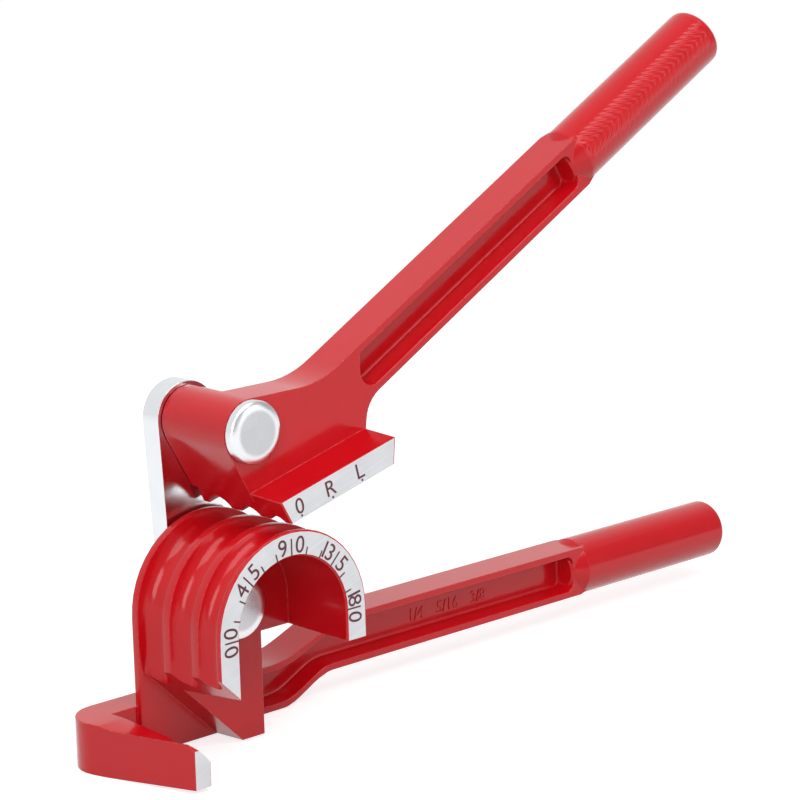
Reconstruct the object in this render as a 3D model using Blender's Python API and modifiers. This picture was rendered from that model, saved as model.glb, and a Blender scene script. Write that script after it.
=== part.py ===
"""Lever tube bender for three tube sizes, in metres, +Z up.

A cast forming handle carries the half-round forming wheel, the tube hook and a round grip.
A cast bending handle carries the grooved shoe. A flat steel link joins the two castings on
headed pins, so that the shoe swings round the wheel and wraps the tube on it.

Shapes are drawn in the wheel frame: its origin is on the wheel's axis at the front scale face,
+X runs along the forming handle, +Y runs back along the axis and +Z is up. The bending handle
is drawn about its own pin. The parent empty sets the tool on the floor, with the middle of its
footprint at the origin.
"""
import math

import bmesh
import bpy
from mathutils import Matrix, Vector

MM = 0.001

# Tube sizes and the forming wheel
SMALL_TUBE = 6.35 * MM
MIDDLE_TUBE = 7.94 * MM
LARGE_TUBE = 9.53 * MM
GROOVE_PLAY = 0.26 * MM
BEND_RADIUS = 23.4 * MM
FRONT_RIM = 1.6 * MM
RIB = 2.75 * MM
BACK_RIM = 2.3 * MM
RIM_ROUND = 0.45 * MM
SCALE_WIDTH = 6.4 * MM
HOLLOW_DEPTH = 22.4 * MM
WHEEL_DROP = 8.0 * MM

# The foot under the wheel and its slanted cut
FOOT_DROP = 35.3 * MM
FOOT_RIGHT = 8.0 * MM
FOOT_LIP = 0.6 * MM
LEG_LIFT = 0.4 * MM
PLATE_THICKNESS = 2.5 * MM
CUT_DROP = 8.8 * MM
CUT_SLOPE = 0.97
CUT_LEAN = 0.11

# The hook that holds the tube
ARM_THICKNESS = 9.2 * MM
ARM_OVERLAP = 1.0 * MM
HOOK_HEIGHT = 12.9 * MM
HOOK_END_SET = 1.0 * MM
HOOK_END_WIDTH = 4.9 * MM
HOOK_TUBE_GAP = 0.25 * MM
HOOK_OVERHANG = 16.8 * MM
HOOK_CORNER = 9.0 * MM
HOOK_EDGE = 2.7 * MM
HOOK_SLOPE_DROP = 5.5 * MM
HOOK_RIDGE_DROP = 0.1 * MM
HOOK_SLOPE_LENGTH = 27.3 * MM
HOOK_NOSE = 2.1 * MM
HOOK_RISE = 1.1 * MM
HOOK_RISE_LENGTH = 27.0 * MM

# The bars and grips, the same on both handles
BAR_THICKNESS = 11.4 * MM
BAR_HEIGHT = 13.75 * MM
FLANGE = 2.0 * MM
BACK_FLANGE = 2.4 * MM
POCKET_DEPTH = 5.8 * MM
BACK_POCKET_DEPTH = 3.6 * MM
POCKET_ROUND = 2.2 * MM
POCKET_RUNOUT = 0.5 * MM
POCKET_END_WALL = 2.6 * MM
POCKET_LIP = 0.4 * MM
POCKET_FLOOR_ROUND = 0.9 * MM
GRIP_DIAMETER = 16.3 * MM
GRIP_LENGTH = 59.2 * MM
GRIP_END_ROUND = 1.8 * MM
GRIP_RAMP_BACK = 3.1 * MM
GRIP_RAMP_FRONT = 1.6 * MM
GRIP_RAMP_SET = 0.3 * MM
TAPER_LENGTH = 3.4 * MM
TAPER_START = 2.0 * MM
TAPER_STEP = 0.3 * MM
BAR_RUN_IN = 4.9 * MM

# The forming handle's bar, which dips under the link before it meets the foot
BAR_SET = 0.1 * MM
BAR_STEP = 0.25 * MM
BAR_DROP = 15.0 * MM
BAR_END = 134.4 * MM
DIP_TOP_START = 21.0 * MM
DIP_TOP_END = 49.0 * MM
DIP_BOTTOM_START = 24.0 * MM
DIP_BOTTOM_END = 41.5 * MM
DIP_POCKET_START = 10.0 * MM
BACK_POCKET_START = 52.0 * MM

# The link between the pins
LINK_LEAN = math.radians(3.1)
LINK_HALF_WIDTH = 9.1 * MM
LINK_THICKNESS = 6.0 * MM
LINK_BEVEL = 0.6 * MM
SPACER_THICKNESS = 0.6 * MM
SPACER_RADIUS = 7.8 * MM
FIT_GAP = 0.3 * MM

# The pins and their washers
PIN_RADIUS = 4.7 * MM
HEAD_RADIUS = 7.9 * MM
HEAD_RIM = 1.5 * MM
HEAD_HEIGHT = 2.7 * MM
HEAD_FLAT = 5.5 * MM
TAIL_RADIUS = 6.6 * MM
TAIL_FLAT = 4.4 * MM
TAIL_RIM = 0.8 * MM
TAIL_HEIGHT = 2.0 * MM
WASHER_RADIUS = 8.0 * MM
WASHER_THICKNESS = 1.0 * MM

# The bending handle, drawn about its pin
HANDLE_TILT = math.radians(29.1)
SHOE_TILT = math.radians(14.4)
WALL_LEAN = math.radians(28.9)
SHOE_END_LEAN = math.radians(5.4)
CASTING_FRONT = 11.0 * MM
SHOE_SET = 0.4 * MM
BOSS_RADIUS = 8.05 * MM
BOSS_START = math.radians(84)
SHOE_GAP = 1.6 * MM
SHOE_DEPTH = 21.8 * MM
SHOE_END = 32.3 * MM
SHOE_HEIGHT = 6.5 * MM
SHOE_TOP_SLOPE = 0.05
PLATE_SINK = 1.8 * MM
UPPER_BAR_DROP = 3.9 * MM
UPPER_BAR_END = 125.8 * MM
NECK_ROUND = 27.0 * MM
THROAT_ROUND = 9.0 * MM
UPPER_POCKET_START = 36.2 * MM
UPPER_POCKET_ROUND = 3.8 * MM
UPPER_BACK_POCKET_START = 46.0 * MM

# Edge rounding and drawing steps
EDGE_ROUND = 0.45 * MM
EDGE_STEPS = 2
EDGE_ANGLE = math.radians(40)
EMBED = 1.0 * MM
OVERRUN = 1.0 * MM
MERGE = 0.002 * MM
ARC_STEPS = 24
GROOVE_STEPS = 8
CORNER_STEPS = 6
DIP_STEPS = 8
GRIP_STEPS = 40
TURN_STEPS = 48

# Sizes that follow from the ones above
GROOVES = tuple(size + GROOVE_PLAY for size in (SMALL_TUBE, MIDDLE_TUBE, LARGE_TUBE))
WHEEL_WIDTH = FRONT_RIM + 2 * RIB + BACK_RIM + sum(GROOVES)
GROOVE_FLOOR = BEND_RADIUS - GROOVES[2] / 2
HOLLOW_RADIUS = BEND_RADIUS - SCALE_WIDTH
HOOK_REACH = BEND_RADIUS + HOOK_OVERHANG
WALL_RADIUS = (HOLLOW_RADIUS + GROOVE_FLOOR) / 2
PLATE_FRONT = WHEEL_WIDTH - PLATE_THICKNESS
LEG_DROP = FOOT_DROP - LEG_LIFT
BAR_FRONT = WHEEL_WIDTH + BAR_SET
BAR_BACK = BAR_FRONT + BAR_THICKNESS
BAR_BOTTOM = -BAR_DROP - BAR_HEIGHT
ARM_TOP = HOOK_HEIGHT - FOOT_DROP
ARM_FRONT = WHEEL_WIDTH - ARM_OVERLAP
ARM_BACK = ARM_FRONT + ARM_THICKNESS
GRIP_RADIUS = GRIP_DIAMETER / 2
SHOE_BACK = WHEEL_WIDTH - SHOE_SET
UPPER_BAR_BACK = CASTING_FRONT + BAR_THICKNESS
UPPER_BAR_BOTTOM = -UPPER_BAR_DROP - BAR_HEIGHT
FORMING_SPACER_FRONT = WHEEL_WIDTH + FIT_GAP
SPACER_BACK = FORMING_SPACER_FRONT + SPACER_THICKNESS
LINK_FRONT = SPACER_BACK + FIT_GAP
CASTING_BACK = LINK_FRONT - FIT_GAP
LINK_BACK = LINK_FRONT + LINK_THICKNESS
WASHER_FRONT = LINK_BACK + FIT_GAP
WASHER_BACK = WASHER_FRONT + WASHER_THICKNESS
TAIL_FRONT = WASHER_BACK + FIT_GAP
BORE_RADIUS = PIN_RADIUS + FIT_GAP
PIN_SPACING = BEND_RADIUS + SHOE_GAP + SHOE_DEPTH
PLATE_DEPTH = SHOE_DEPTH - SHOE_HEIGHT + PLATE_SINK
PIN_PLACE = (-PIN_SPACING * math.sin(LINK_LEAN), PIN_SPACING * math.cos(LINK_LEAN))
TOOL_RIGHT = BAR_END + GRIP_LENGTH
TOOL_BACK = (BAR_FRONT + BAR_BACK) / 2 + GRIP_RADIUS


def new_collection(name):
    collection = bpy.data.collections.new(name)
    bpy.context.scene.collection.children.link(collection)
    return collection


def paint(name, colour, roughness, metallic):
    """Material with one Principled shader."""
    material = bpy.data.materials.new(name)
    material.use_nodes = True
    shader = material.node_tree.nodes["Principled BSDF"]
    shader.inputs["Base Color"].default_value = (*colour, 1.0)
    shader.inputs["Roughness"].default_value = roughness
    shader.inputs["Metallic"].default_value = metallic
    return material


def object_from_bmesh(name, shape, collection):
    """Closed mesh object from a bmesh, with its faces pointing out."""
    bmesh.ops.remove_doubles(shape, verts=shape.verts, dist=MERGE)
    bmesh.ops.recalc_face_normals(shape, faces=shape.faces)
    mesh = bpy.data.meshes.new(name)
    shape.to_mesh(mesh)
    shape.free()
    obj = bpy.data.objects.new(name, mesh)
    collection.objects.link(obj)
    return obj


def mesh_of(obj):
    """Plain mesh of an object with its modifiers, after which the object is removed."""
    bpy.context.view_layer.update()
    graph = bpy.context.evaluated_depsgraph_get()
    mesh = bpy.data.meshes.new_from_object(obj.evaluated_get(graph))
    mesh.transform(obj.matrix_world)
    bpy.data.objects.remove(obj, do_unlink=True)
    return mesh


def flat_shape(name, points, low, high, collection, upright=True):
    """Outline with a thickness. Upright ones are drawn in XZ and run along Y, others in XY."""
    curve = bpy.data.curves.new(name, "CURVE")
    curve.dimensions = "2D"
    curve.fill_mode = "BOTH"
    curve.extrude = (high - low) / 2
    spline = curve.splines.new("POLY")
    spline.points.add(len(points) - 1)
    for point, (across, up) in zip(spline.points, points):
        point.co = (across, up, 0, 1)
    spline.use_cyclic_u = True
    drawn = bpy.data.objects.new(name + "_outline", curve)
    middle = (low + high) / 2
    if upright:
        stand = Matrix.Rotation(math.pi / 2, 4, "X")
        drawn.matrix_world = Matrix.Translation((0, middle, 0)) @ stand
    else:
        drawn.matrix_world = Matrix.Translation((0, 0, middle))
    collection.objects.link(drawn)
    mesh = mesh_of(drawn)
    shape = bmesh.new()
    shape.from_mesh(mesh)
    bpy.data.meshes.remove(mesh)
    return object_from_bmesh(name, shape, collection)


def round_bar(name, radius, low, high, centre, collection):
    """Round bar along Y between two depths, about a point in XZ."""
    shape = bmesh.new()
    depth = high - low
    bmesh.ops.create_cone(
        shape, cap_ends=True, segments=TURN_STEPS, radius1=radius, radius2=radius, depth=depth
    )
    place = Matrix.Translation((centre[0], (low + high) / 2, centre[1]))
    lay = place @ Matrix.Rotation(math.pi / 2, 4, "X")
    bmesh.ops.transform(shape, matrix=lay, verts=shape.verts)
    return object_from_bmesh(name, shape, collection)


def turned(name, profile, collection, closed=False, steps=TURN_STEPS):
    """Shape turned about Z from (radius, height) points. A closed profile makes a ring."""
    mesh = bpy.data.meshes.new(name)
    points = [(radius, 0, height) for radius, height in profile]
    edges = [(i, i + 1) for i in range(len(points) - 1)]
    if closed:
        edges.append((len(points) - 1, 0))
    mesh.from_pydata(points, edges, [])
    obj = bpy.data.objects.new(name, mesh)
    collection.objects.link(obj)
    screw = obj.modifiers.new("turn", "SCREW")
    screw.axis = "Z"
    screw.steps = steps
    screw.render_steps = steps
    screw.use_normal_flip = True
    screw.use_merge_vertices = True
    screw.merge_threshold = MERGE
    return obj


def turned_solid(name, profile, place, collection, closed=False):
    """Turned shape made a plain mesh and moved to its place."""
    mesh = mesh_of(turned(name + "_profile", profile, collection, closed, GRIP_STEPS))
    mesh.transform(place)
    shape = bmesh.new()
    shape.from_mesh(mesh)
    bpy.data.meshes.remove(mesh)
    return object_from_bmesh(name, shape, collection)


def hull_shape(name, points, collection):
    """Convex block with the given corners."""
    shape = bmesh.new()
    corners = [shape.verts.new(point) for point in points]
    hull = bmesh.ops.convex_hull(shape, input=corners)
    spare = [item for item in hull["geom_interior"] if isinstance(item, bmesh.types.BMVert)]
    bmesh.ops.delete(shape, geom=spare, context="VERTS")
    return object_from_bmesh(name, shape, collection)


def combine(target, tool, operation):
    """Boolean modifier on the target with a hidden tool, which moves with the target."""
    modifier = target.modifiers.new(tool.name, "BOOLEAN")
    modifier.solver = "EXACT"
    modifier.operation = operation
    modifier.object = tool
    tool.parent = target
    tool.hide_render = True
    tool.display_type = "WIRE"


def round_edges(obj, width=EDGE_ROUND):
    modifier = obj.modifiers.new("rounded_edges", "BEVEL")
    modifier.width = width
    modifier.segments = EDGE_STEPS
    modifier.limit_method = "ANGLE"
    modifier.angle_limit = EDGE_ANGLE


def arc(centre, radius, start, end, steps):
    """Points of an arc, both ends included, angles in radians from the first axis."""
    points = []
    for step in range(steps + 1):
        angle = start + (end - start) * step / steps
        across = centre[0] + radius * math.cos(angle)
        points.append((across, centre[1] + radius * math.sin(angle)))
    return points


def rounded_outline(corners):
    """Outline through (across, up, radius) corners, each one rounded with its radius."""
    points = []
    for index, (across, up, radius) in enumerate(corners):
        corner = Vector((across, up))
        if radius == 0:
            points.append((across, up))
            continue
        before = (Vector(corners[index - 1][:2]) - corner).normalized()
        after = (Vector(corners[(index + 1) % len(corners)][:2]) - corner).normalized()
        half = before.angle(after) / 2
        middle = corner + (before + after).normalized() * (radius / math.sin(half))
        reach = radius / math.tan(half)
        first = corner + before * reach - middle
        last = corner + after * reach - middle
        start = math.atan2(first.y, first.x)
        turn = math.atan2(last.y, last.x) - start
        turn = (turn + math.pi) % (2 * math.pi) - math.pi
        points += arc(middle, radius, start, start + turn, CORNER_STEPS)
    return points


def crossing(start, line, other, direction):
    """Point where two lines in a plane cross."""
    start, line = Vector(start), Vector(line)
    other, direction = Vector(other), Vector(direction)
    spread = line.x * direction.y - line.y * direction.x
    away = other - start
    share = (away.x * direction.y - away.y * direction.x) / spread
    return start + line * share


def smooth_step(start, end, steps):
    """Points of an S-shaped rise between two points that leaves and meets level lines."""
    points = []
    for step in range(steps + 1):
        share = step / steps
        rise = share * share * (3 - 2 * share)
        across = start[0] + (end[0] - start[0]) * share
        points.append((across, start[1] + (end[1] - start[1]) * rise))
    return points


def inset(points, distance):
    """Outline moved in by a distance; the points run round it counter-clockwise."""
    moved = []
    count = len(points)
    for index in range(count):
        here = Vector(points[index])
        back = (here - Vector(points[index - 1])).normalized()
        ahead = (Vector(points[(index + 1) % count]) - here).normalized()
        normal = Vector((-back.y - ahead.y, back.x + ahead.x)).normalized()
        lean = max(normal.dot(Vector((-ahead.y, ahead.x))), 0.5)
        moved.append(tuple(here + normal * (distance / lean)))
    return moved


def stacked_rings(name, rings, collection):
    """Solid through matching rings of (across, depth, up) points, closed at both ends."""
    shape = bmesh.new()
    drawn = [[shape.verts.new(point) for point in ring] for ring in rings]
    count = len(rings[0])
    for low, high in zip(drawn, drawn[1:]):
        for index in range(count):
            after = (index + 1) % count
            shape.faces.new((low[index], low[after], high[after], high[index]))
    shape.faces.new(drawn[0])
    shape.faces.new(drawn[-1])
    return object_from_bmesh(name, shape, collection)


def pocket_shape(name, outline, mouth, depth, run_end, collection):
    """Cutter of a cast pocket: rounded lip and floor edges, and a sloped end near the grip.

    The pocket opens at the depth called mouth and runs back for a positive depth or forward
    for a negative one. run_end is how far along the sloped end lies.
    """
    side = 1 if depth > 0 else -1
    floor = abs(depth)
    levels = [
        (-OVERRUN, -POCKET_LIP - OVERRUN),
        (POCKET_LIP * 0.3, -POCKET_LIP * 0.3),
        (POCKET_LIP, 0),
        (floor - POCKET_FLOOR_ROUND, POCKET_LIP / 2),
        (floor - POCKET_FLOOR_ROUND * 0.3, POCKET_LIP / 2 + POCKET_FLOOR_ROUND * 0.3),
        (floor, POCKET_LIP / 2 + POCKET_FLOOR_ROUND),
    ]
    rings = []
    for level, inward in levels:
        share = max(level, 0) / floor
        ring = []
        for across, up in inset(outline, inward):
            if across > run_end - POCKET_ROUND - POCKET_LIP:
                across -= POCKET_RUNOUT * share
            ring.append((across, mouth + side * level, up))
        rings.append(ring)
    return stacked_rings(name, rings, collection)


def lengthwise(centre, height, start):
    """Matrix that lays a turned shape along +X about a line at the given depth and height."""
    return Matrix.Translation((start, centre, height)) @ Matrix.Rotation(math.pi / 2, 4, "Y")


def grip_shape(name, centre, height, start, collection):
    """Round grip with a rounded end, which grows out of the bar over a short cone."""
    flat = GRIP_RADIUS - GRIP_END_ROUND
    core = BAR_THICKNESS / 2 - GRIP_RAMP_SET
    profile = [(0, -GRIP_RAMP_BACK), (core, -GRIP_RAMP_BACK), (GRIP_RADIUS, GRIP_RAMP_FRONT)]
    profile += arc((flat, GRIP_LENGTH - GRIP_END_ROUND), GRIP_END_ROUND, 0, math.pi / 2, 5)
    profile += [(0, GRIP_LENGTH)]
    return turned_solid(name, profile, lengthwise(centre, height, start), collection)


def taper_shape(name, centre, height, start, collection):
    """Ring that tapers the bar's corners down to the grip."""
    wide = GRIP_RADIUS + TAPER_START
    narrow = GRIP_RADIUS - TAPER_STEP
    outside = GRIP_DIAMETER
    profile = [(wide - TAPER_STEP, -TAPER_LENGTH), (narrow, TAPER_LENGTH + OVERRUN)]
    profile += [(narrow, 2 * TAPER_LENGTH), (outside, 2 * TAPER_LENGTH)]
    profile += [(outside, -TAPER_LENGTH)]
    place = lengthwise(centre, height, start)
    return turned_solid(name, profile, place, collection, closed=True)


def groove_middles():
    """Depth of each groove's middle behind the front face, front groove first."""
    middles = []
    depth = FRONT_RIM
    for groove in GROOVES:
        middles.append(depth + groove / 2)
        depth += groove + RIB
    return middles


def rim_edge(depth, side):
    """Rounded corner of a land, which lies on the given side of the depth."""
    points = []
    for step in range(3):
        angle = math.pi / 4 * step
        across = BEND_RADIUS - RIM_ROUND + RIM_ROUND * math.sin(angle)
        points.append((across, depth + side * RIM_ROUND * (1 - math.cos(angle))))
    return points if side > 0 else points[::-1]


def wheel_section():
    """Closed section of the wheel's rim as (radius, depth) points."""
    points = [(HOLLOW_RADIUS, RIM_ROUND), (HOLLOW_RADIUS + RIM_ROUND, 0)]
    points += rim_edge(0, 1)
    for middle, groove in zip(groove_middles(), GROOVES):
        radius = groove / 2
        lip = math.asin(RIM_ROUND / radius)
        points += rim_edge(middle - radius, -1)
        for step in range(1, GROOVE_STEPS):
            angle = lip + (math.pi - 2 * lip) * step / GROOVE_STEPS
            across = BEND_RADIUS - radius * math.sin(angle)
            points.append((across, middle - radius * math.cos(angle)))
        points += rim_edge(middle + radius, 1)
    points += rim_edge(WHEEL_WIDTH, -1)
    points.append((HOLLOW_RADIUS, WHEEL_WIDTH))
    return points


def wheel_rim(collection):
    """Grooved rim: its section runs up the left leg, over the wheel and down the right one."""
    section = wheel_section()
    rings = [[(-radius, depth, -LEG_DROP) for radius, depth in section]]
    for step in range(ARC_STEPS + 1):
        angle = math.pi * (1 - step / ARC_STEPS)
        across, up = math.cos(angle), math.sin(angle)
        rings.append([(radius * across, depth, radius * up) for radius, depth in section])
    rings.append([(radius, depth, -WHEEL_DROP) for radius, depth in section])
    return stacked_rings("forming_handle", rings, collection)


def wheel_wall(collection):
    """Wall that closes the wheel's back and runs down as the pillar to the foot."""
    outline = arc((0, 0), WALL_RADIUS, math.pi, 0, ARC_STEPS)
    outline += [(WALL_RADIUS, -WHEEL_DROP), (FOOT_RIGHT, -WHEEL_DROP)]
    outline += [(FOOT_RIGHT, -LEG_DROP), (-WALL_RADIUS, -LEG_DROP)]
    wall = flat_shape("wheel_wall", outline, HOLLOW_DEPTH, WHEEL_WIDTH, collection)
    round_edges(wall)
    return wall


def slanted_cut(collection):
    """Cut under the wheel's left leg: it leans back and stops at the back plate."""
    left = -BEND_RADIUS - OVERRUN
    right = BEND_RADIUS
    start = CUT_SLOPE * OVERRUN - CUT_DROP
    end = start - CUT_SLOPE * (right - left)
    outline = [(left, start), (right, end), (left, end)]
    cut = flat_shape("slanted_cut", outline, -OVERRUN, PLATE_FRONT, collection)
    lean = Matrix.Identity(4)
    lean[2][1] = -CUT_LEAN
    cut.data.transform(lean)
    return cut


def hook_inner(depth):
    """How far left of the wheel's axis the hook's inner face lies at a depth."""
    middles = groove_middles()
    front = BEND_RADIUS + SMALL_TUBE / 2 + HOOK_TUBE_GAP
    back = BEND_RADIUS + LARGE_TUBE / 2 + HOOK_TUBE_GAP
    return front + (back - front) * (depth - middles[0]) / (middles[2] - middles[0])


def foot_and_hook(collection):
    """Foot, arm and tube hook, drawn in plan."""
    end = -hook_inner(HOOK_END_SET)
    tip = Vector((end - HOOK_END_WIDTH, HOOK_END_SET))
    middle = Vector((HOOK_CORNER - HOOK_REACH, ARM_BACK - HOOK_CORNER))
    away = tip - middle
    facing = math.atan2(away.y, away.x) - math.acos(HOOK_CORNER / away.length) + 2 * math.pi
    right = FOOT_RIGHT + FOOT_LIP
    outline = [(end, HOOK_END_SET), (-hook_inner(ARM_FRONT), ARM_FRONT), (right, ARM_FRONT)]
    outline += [(right, ARM_BACK)]
    outline += arc(middle, HOOK_CORNER, math.pi / 2, facing, CORNER_STEPS + 2)
    outline += [tuple(tip)]
    body = flat_shape("foot_and_hook", outline, -FOOT_DROP, ARM_TOP, collection, upright=False)
    round_edges(body)
    combine(body, hook_edge(collection), "DIFFERENCE")
    combine(body, hook_slope(tip, facing, collection), "DIFFERENCE")
    combine(body, hook_nose(collection), "DIFFERENCE")
    combine(body, hook_underside(collection), "DIFFERENCE")
    return body


def hook_edge(collection):
    """Sloping cut along the hook's inner top edge."""
    corners = []
    for depth in (HOOK_END_SET - OVERRUN, ARM_FRONT):
        inner = -hook_inner(depth)
        corners.append((inner + OVERRUN, depth, ARM_TOP - HOOK_EDGE - OVERRUN))
        corners.append((inner + OVERRUN, depth, ARM_TOP + OVERRUN))
        corners.append((inner - HOOK_EDGE - OVERRUN, depth, ARM_TOP + OVERRUN))
    return hull_shape("hook_edge_cut", corners, collection)


def hook_slope(tip, facing, collection):
    """Wide sloping cut that lets the tube swing in over the hook's free end."""
    lean = abs(math.sin(facing))
    near = HOOK_END_SET - OVERRUN
    stop = HOOK_END_SET + HOOK_SLOPE_LENGTH
    inner = -hook_inner(near)
    slope = (HOOK_SLOPE_DROP - HOOK_RIDGE_DROP) / (inner - tip.x)
    low = ARM_TOP - HOOK_SLOPE_DROP - slope * OVERRUN
    high = ARM_TOP - HOOK_RIDGE_DROP + slope * OVERRUN
    top = ARM_TOP + OVERRUN
    corners = [(inner + OVERRUN, near, low), (tip.x - OVERRUN, near, high)]
    corners += [(inner + OVERRUN, near, top), (tip.x - OVERRUN, near, top)]
    for across in (-hook_inner(stop) + OVERRUN, tip.x - lean * HOOK_SLOPE_LENGTH - OVERRUN):
        corners.append((across, stop, ARM_TOP))
        corners.append((across, stop, top))
    return hull_shape("hook_slope_cut", corners, collection)


def hook_nose(collection):
    """Bevel at the top of the hook's free end."""
    corners = []
    for across in (-HOOK_REACH, -BEND_RADIUS):
        corners.append((across, HOOK_END_SET - OVERRUN, ARM_TOP - HOOK_NOSE - OVERRUN))
        corners.append((across, HOOK_END_SET - OVERRUN, ARM_TOP + OVERRUN))
        corners.append((across, HOOK_END_SET + HOOK_NOSE + OVERRUN, ARM_TOP + OVERRUN))
    return hull_shape("hook_nose_cut", corners, collection)


def hook_underside(collection):
    """Underside of the hook, which rises toward its free end."""
    slope = HOOK_RISE / HOOK_RISE_LENGTH
    start = HOOK_END_SET + HOOK_RISE_LENGTH
    corners = []
    for across in (-HOOK_REACH - OVERRUN, -BEND_RADIUS):
        corners.append((across, start, -FOOT_DROP))
        corners.append((across, start, -FOOT_DROP - OVERRUN))
        corners.append((across, -OVERRUN, -FOOT_DROP - OVERRUN))
        corners.append((across, -OVERRUN, slope * (start + OVERRUN) - FOOT_DROP))
    return hull_shape("hook_underside_cut", corners, collection)


def dipped_outline(start, end, margin, corner):
    """Outline along the forming handle's bar, moved in by a margin from its top and bottom."""
    low_top, high_top = ARM_TOP - BAR_STEP - margin, -BAR_DROP - margin
    low_bottom, high_bottom = BAR_STEP + margin - FOOT_DROP, BAR_BOTTOM + margin
    bottom = smooth_step((DIP_BOTTOM_START, low_bottom), (DIP_BOTTOM_END, high_bottom), DIP_STEPS)
    top = smooth_step((DIP_TOP_START, low_top), (DIP_TOP_END, high_top), DIP_STEPS)
    outline = [(start, low_bottom, corner)]
    outline += [(across, up, 0) for across, up in bottom]
    outline += [(end, high_bottom, corner), (end, high_top, corner)]
    outline += [(across, up, 0) for across, up in top[::-1]]
    outline += [(start, low_top, corner)]
    return rounded_outline(outline)


def forming_bar(collection):
    """Bar of the forming handle with its cast pockets."""
    centre = (BAR_FRONT + BAR_BACK) / 2
    height = BAR_BOTTOM + BAR_HEIGHT / 2
    start = FOOT_RIGHT - 4 * EMBED
    outline = dipped_outline(start, BAR_END + BAR_RUN_IN, 0, 0)
    bar = flat_shape("forming_bar", outline, BAR_FRONT, BAR_BACK, collection)
    round_edges(bar)
    end = BAR_END - POCKET_END_WALL
    pocket = dipped_outline(DIP_POCKET_START, end, FLANGE, POCKET_ROUND)
    front = pocket_shape("forming_pocket", pocket, BAR_FRONT, POCKET_DEPTH, end, collection)
    combine(bar, front, "DIFFERENCE")
    back_outline = rounded_outline([
        (BACK_POCKET_START, BAR_BOTTOM + BACK_FLANGE, POCKET_ROUND),
        (end, BAR_BOTTOM + BACK_FLANGE, POCKET_ROUND),
        (end, -BAR_DROP - BACK_FLANGE, POCKET_ROUND),
        (BACK_POCKET_START, -BAR_DROP - BACK_FLANGE, POCKET_ROUND),
    ])
    back = pocket_shape(
        "forming_back_pocket", back_outline, BAR_BACK, -BACK_POCKET_DEPTH, end, collection
    )
    combine(bar, back, "DIFFERENCE")
    combine(bar, taper_shape("forming_taper", centre, height, BAR_END, collection), "DIFFERENCE")
    return bar, grip_shape("forming_grip", centre, height, BAR_END, collection)


def forming_handle(collection, cutters):
    handle = wheel_rim(collection)
    combine(handle, wheel_wall(cutters), "UNION")
    combine(handle, slanted_cut(cutters), "DIFFERENCE")
    bore = round_bar(
        "forming_bore", BORE_RADIUS, HOLLOW_DEPTH - OVERRUN, WHEEL_WIDTH + OVERRUN, (0, 0), cutters
    )
    combine(handle, bore, "DIFFERENCE")
    combine(handle, foot_and_hook(cutters), "UNION")
    bar, grip = forming_bar(cutters)
    combine(handle, bar, "UNION")
    combine(handle, grip, "UNION")
    return handle


def along(direction, distance, normal=0):
    """Point at a distance along a tilted line through the pin and at a height above it."""
    across = distance * math.cos(direction) - normal * math.sin(direction)
    return across, distance * math.sin(direction) + normal * math.cos(direction)


def left_wall():
    """Start and direction of the left wall's line, which touches the boss."""
    wall = (-math.sin(WALL_LEAN), math.cos(WALL_LEAN))
    return (-wall[1] * BOSS_RADIUS, wall[0] * BOSS_RADIUS), wall


def shoe_end():
    """Start and direction of the shoe's end line."""
    line = (math.sin(SHOE_END_LEAN), math.cos(SHOE_END_LEAN))
    return along(SHOE_TILT, SHOE_END, -SHOE_DEPTH), line


def at_shoe_depth(line, depth):
    """Point of a line at a depth below the pin, measured square to the shoe."""
    return tuple(crossing(*line, along(SHOE_TILT, 0, -depth), along(SHOE_TILT, 1)))


def boss_corner():
    """Corner whose rounding is the boss: the left wall meets the level top of the neck."""
    return (*crossing(*left_wall(), (0, BOSS_RADIUS), (1, 0)), BOSS_RADIUS)


def casting_plate(collection):
    """Boss, neck and bar of the bending handle in one outline, sunk into the shoe."""
    bar_line = along(HANDLE_TILT, 1)
    top_line = (along(HANDLE_TILT, 0, -UPPER_BAR_DROP), bar_line)
    bottom_line = (along(HANDLE_TILT, 0, UPPER_BAR_BOTTOM), bar_line)
    end = UPPER_BAR_END + BAR_RUN_IN
    outline = rounded_outline([
        boss_corner(),
        (*at_shoe_depth(left_wall(), PLATE_DEPTH), 0),
        (*at_shoe_depth(shoe_end(), PLATE_DEPTH), 0),
        (*crossing(*shoe_end(), *bottom_line), THROAT_ROUND),
        (*along(HANDLE_TILT, end, UPPER_BAR_BOTTOM), 0),
        (*along(HANDLE_TILT, end, -UPPER_BAR_DROP), 0),
        (*crossing((0, BOSS_RADIUS), (1, 0), *top_line), NECK_ROUND),
    ])
    plate = flat_shape("bending_handle", outline, CASTING_FRONT, CASTING_BACK, collection)
    return plate


def rear_cut(collection):
    """Cut that leaves only the boss and a rib behind the bar."""
    low = -SHOE_DEPTH - OVERRUN
    right = UPPER_BAR_END + 2 * TAPER_LENGTH
    boss = arc((0, 0), BOSS_RADIUS, BOSS_START, 0, CORNER_STEPS)
    outline = boss + [(BOSS_RADIUS, low), (right, low), (right, right), (boss[0][0], right)]
    return flat_shape("rear_cut", outline, UPPER_BAR_BACK, CASTING_BACK + OVERRUN, collection)


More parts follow.
